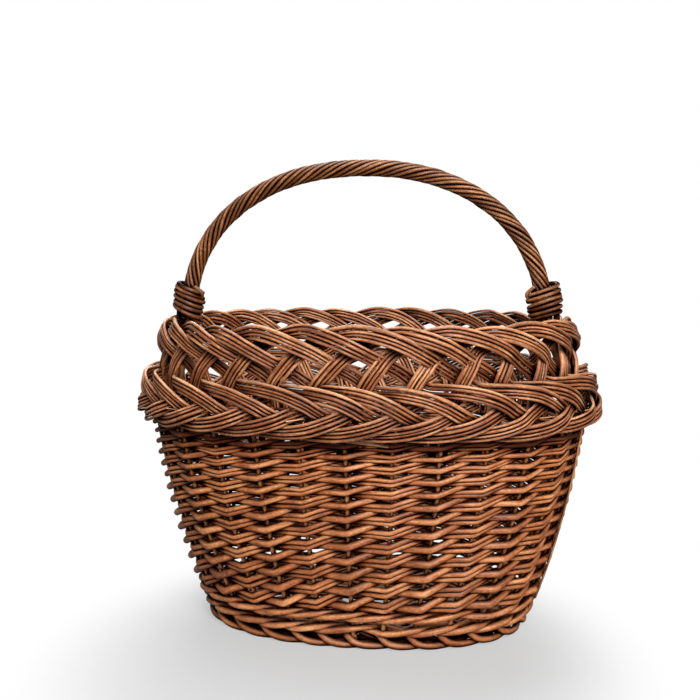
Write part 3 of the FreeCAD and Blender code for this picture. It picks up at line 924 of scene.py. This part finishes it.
def pegs():
    rods = Rods()
    for place in (QUARTER, 3 * QUARTER):
        for shift in (-PEG_SHIFT, PEG_SHIFT):
            run = smooth_run([(place + shift, level, -PEG_INSET) for level in PEG_LEVELS], 10)
            rods.add(wall_points(*run.T), PEG_RADIUS)
    splint = [(SPLINT_PLACE - SPLINT_LEAN * level, level, proud) for level, proud in SPLINT_PATH]
    rods.add(wall_points(*smooth_run(splint, 16).T), SPLINT_RADIUS, tone=0.95)
    rods.build("handle_pegs", "handle_willow")


# ---------------------------------------------------------------- stage, in metres

FLOOR_REACH = 40.0
FLOOR_COLOUR = (0.52, 0.53, 0.545, 1.0)
# The floor's glow is grey round the basket, as painted shadow, and white further out.
FADE_CENTRE = (-0.01, -0.10, 0.0)
FADE_REACH = (0.12, 0.31)
SHADOW_GLOW_STOPS = [(0.0, (0.66, 0.66, 0.66)), (1.0, (1.0, 1.0, 1.0))]
FILL_STRENGTH = 0.2

# Lights, all aimed at the basket's middle: name, place, size, power and colour.
LIGHT_AIM = (0, 0, 0.2)
LIGHTS = (
    ("key", (0.6, -1.6, 1.26), 1.0, 66.0, (1.0, 0.97, 0.94)),
    ("rear", (-0.6, 1.7, 1.2), 1.2, 22.0, (1.0, 1.0, 1.0)),
    ("top", (-0.5, 0.1, 2.0), 1.0, 22.0, (1.0, 1.0, 1.0)),
)

# The camera stands in front, a little to the right, and looks down. Its lens is in millimetres.
SENSOR_WIDTH = 36.0
FOCAL_LENGTH = 43.6114286
CAMERA_DISTANCE = 0.850
CAMERA_HEIGHT = 0.356
CAMERA_TURN = 0.133
CAMERA_PITCH = math.radians(6.0)
CAMERA_SHIFT = (-0.024, 0.003)
CLIP_START = 0.05


def area_light(name, place, size, power, colour):
    light = bpy.data.lights.new(name, "AREA")
    light.shape = "DISK"
    light.size = size
    light.energy = power
    light.color = colour
    lamp = add_object(name, light)
    lamp.location = place
    direction = Vector(np.array(LIGHT_AIM) - np.array(place))
    lamp.rotation_euler = direction.to_track_quat("-Z", "Y").to_euler()


def seen_strength(tree):
    """Full white to the camera and a soft fill to everything else."""
    seen = node(tree, "ShaderNodeLightPath").outputs["Is Camera Ray"]
    return maths(tree, "MULTIPLY_ADD", seen, 1.0 - FILL_STRENGTH, FILL_STRENGTH)


def floor_painted_shadow():
    """Painted shadow: grey glow over the grey floor round the basket, fading into the white glow of the
    studio.
    """
    material, tree, shader = new_material("floor_painted_shadow")
    shader.inputs["Base Color"].default_value = FLOOR_COLOUR
    shader.inputs["Roughness"].default_value = 0.9
    shader.inputs["Specular IOR Level"].default_value = 0.1
    spot = node(tree, "ShaderNodeVectorMath", operation="DISTANCE")
    spot.inputs[1].default_value = FADE_CENTRE
    tree.links.new(node(tree, "ShaderNodeTexCoord").outputs["Object"], spot.inputs[0])
    fade = ranged(tree, spot.outputs["Value"], *FADE_REACH, interpolation_type="SMOOTHERSTEP")
    glow = node(tree, "ShaderNodeEmission")
    tree.links.new(ramp(tree, fade, SHADOW_GLOW_STOPS), glow.inputs["Color"])
    tree.links.new(seen_strength(tree), glow.inputs["Strength"])
    both = node(tree, "ShaderNodeMixShader")
    tree.links.new(maths(tree, "MULTIPLY_ADD", fade, 0.4, 0.6), both.inputs["Fac"])
    tree.links.new(shader.outputs["BSDF"], both.inputs[1])
    tree.links.new(glow.outputs["Emission"], both.inputs[2])
    tree.links.new(both.outputs["Shader"], tree.nodes["Material Output"].inputs["Surface"])
    return material


def stage():
    mesh = bpy.data.meshes.new("floor")
    corners = [(x * FLOOR_REACH, y * FLOOR_REACH, 0) for x, y in ((-1, -1), (1, -1), (1, 1), (-1, 1))]
    mesh.from_pydata(corners, [], [(0, 1, 2, 3)])
    mesh.materials.append(floor_painted_shadow())
    add_object("floor", mesh)
    world = bpy.data.worlds.new("studio")
    bpy.context.scene.world = world
    world.use_nodes = True
    background = world.node_tree.nodes["Background"]
    background.inputs["Color"].default_value = (1.0, 1.0, 1.0, 1.0)
    world.node_tree.links.new(seen_strength(world.node_tree), background.inputs["Strength"])
    for values in LIGHTS:
        area_light(*values)


def camera():
    data = bpy.data.cameras.new("camera")
    data.sensor_width = SENSOR_WIDTH
    data.lens = FOCAL_LENGTH
    data.shift_x, data.shift_y = CAMERA_SHIFT
    data.clip_start = CLIP_START
    made = add_object("camera", data)
    right, back = CAMERA_DISTANCE * math.sin(CAMERA_TURN), CAMERA_DISTANCE * math.cos(CAMERA_TURN)
    made.location = (right, -back, CAMERA_HEIGHT)
    made.rotation_euler = (math.pi / 2 - CAMERA_PITCH, 0.0, CAMERA_TURN)
    bpy.context.scene.camera = made


stakes()
weave()
wales()
foot_border()
border()
base_cross_sticks()
base_long_sticks()
base_weave()
handle_bow()
handle_rope()
bindings()
pegs()
stage()
camera()
bpy.context.scene.view_settings.view_transform = "Standard"
